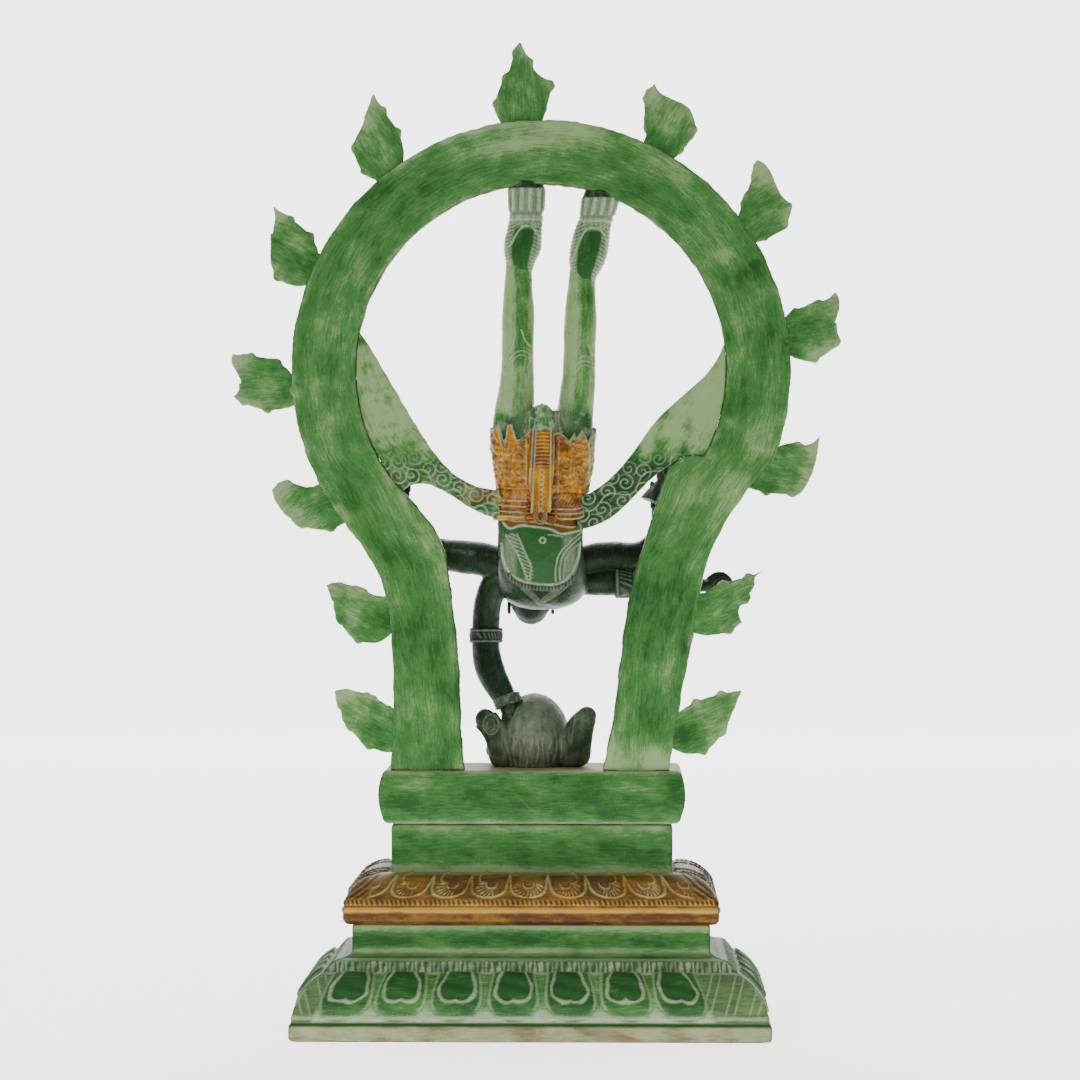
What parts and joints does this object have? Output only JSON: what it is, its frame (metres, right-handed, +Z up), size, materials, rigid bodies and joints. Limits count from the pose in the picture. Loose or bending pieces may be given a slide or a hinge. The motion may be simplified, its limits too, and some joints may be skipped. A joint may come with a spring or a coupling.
{
  "type": "brass dancer statue",
  "caption": "Cast brass statue of an upside-down dancer balancing on a dwarf inside a flaming arch, on a stepped hollow pedestal, with green and gilt patina.",
  "frame": {"origin": "centre of the pedestal's footprint, on the surface it stands on", "axes": "+Z up, +Y the statue's front, the way the dancer's face looks; the arch's flat back faces -Y; +X to the right as seen from the back"},
  "size_m": [0.2347, 0.1274, 0.3813],
  "materials": {
    "green_brass": "green patina, matt, streaky",
    "dark_green_brass": "dark green patina",
    "gilt_brass": "worn antique gold",
    "plain_steel": "plain, unplated"
  },
  "bodies": {
    "root": {"ankle_bells_left": "green_brass", "ankle_bells_right": "green_brass", "arch_ring": "green_brass", "arm_left_raised": "dark_green_brass", "arm_right_raised": "dark_green_brass", "arm_right_swung": "dark_green_brass", "arm_support": "dark_green_brass", "armlet_support": "dark_green_brass", "armlet_swung": "dark_green_brass", "belt_buckle": "gilt_brass", "bottom_strap": "plain_steel", "drum": "dark_green_brass", "dwarf_arm_left": "dark_green_brass", "dwarf_arm_right": "dark_green_brass", "dwarf_body": "dark_green_brass", "dwarf_head": "dark_green_brass", "dwarf_leg_left": "dark_green_brass", "dwarf_leg_right": "dark_green_brass", "earring_left": "dark_green_brass", "earring_right": "dark_green_brass", "flame_01": "green_brass", "flame_02": "green_brass", "flame_03": "green_brass", "flame_04": "green_brass", "flame_05": "green_brass", "flame_06": "green_brass", "flame_07": "green_brass", "flame_08": "green_brass", "flame_09": "green_brass", "flame_10": "green_brass", "flame_11": "green_brass", "flame_12": "green_brass", "flame_13": "green_brass", "flame_bowl": "gilt_brass", "foot_left": "green_brass", "foot_right": "green_brass", "front_pleat": "gilt_brass", "gold_moulding_tier": "gilt_brass", "hair_crown": "dark_green_brass", "hand_bowl": "dark_green_brass", "hand_drum": "dark_green_brass", "hand_support": "dark_green_brass", "hand_swung": "dark_green_brass", "head": "dark_green_brass", "hip_cloth": "gilt_brass", "leg_left": "green_brass", "leg_right": "green_brass", "lotus_plinth": "green_brass", "necklace": "dark_green_brass", "sash_left": "green_brass", "sash_right": "green_brass", "seat_slab": "green_brass", "tie_rod": "plain_steel", "tie_rod_nut": "plain_steel", "tie_rod_washer": "plain_steel", "torso": "green_brass", "waist_belt": "gilt_brass", "wrist_bangles": "dark_green_brass"}
  },
  "joints": []
}
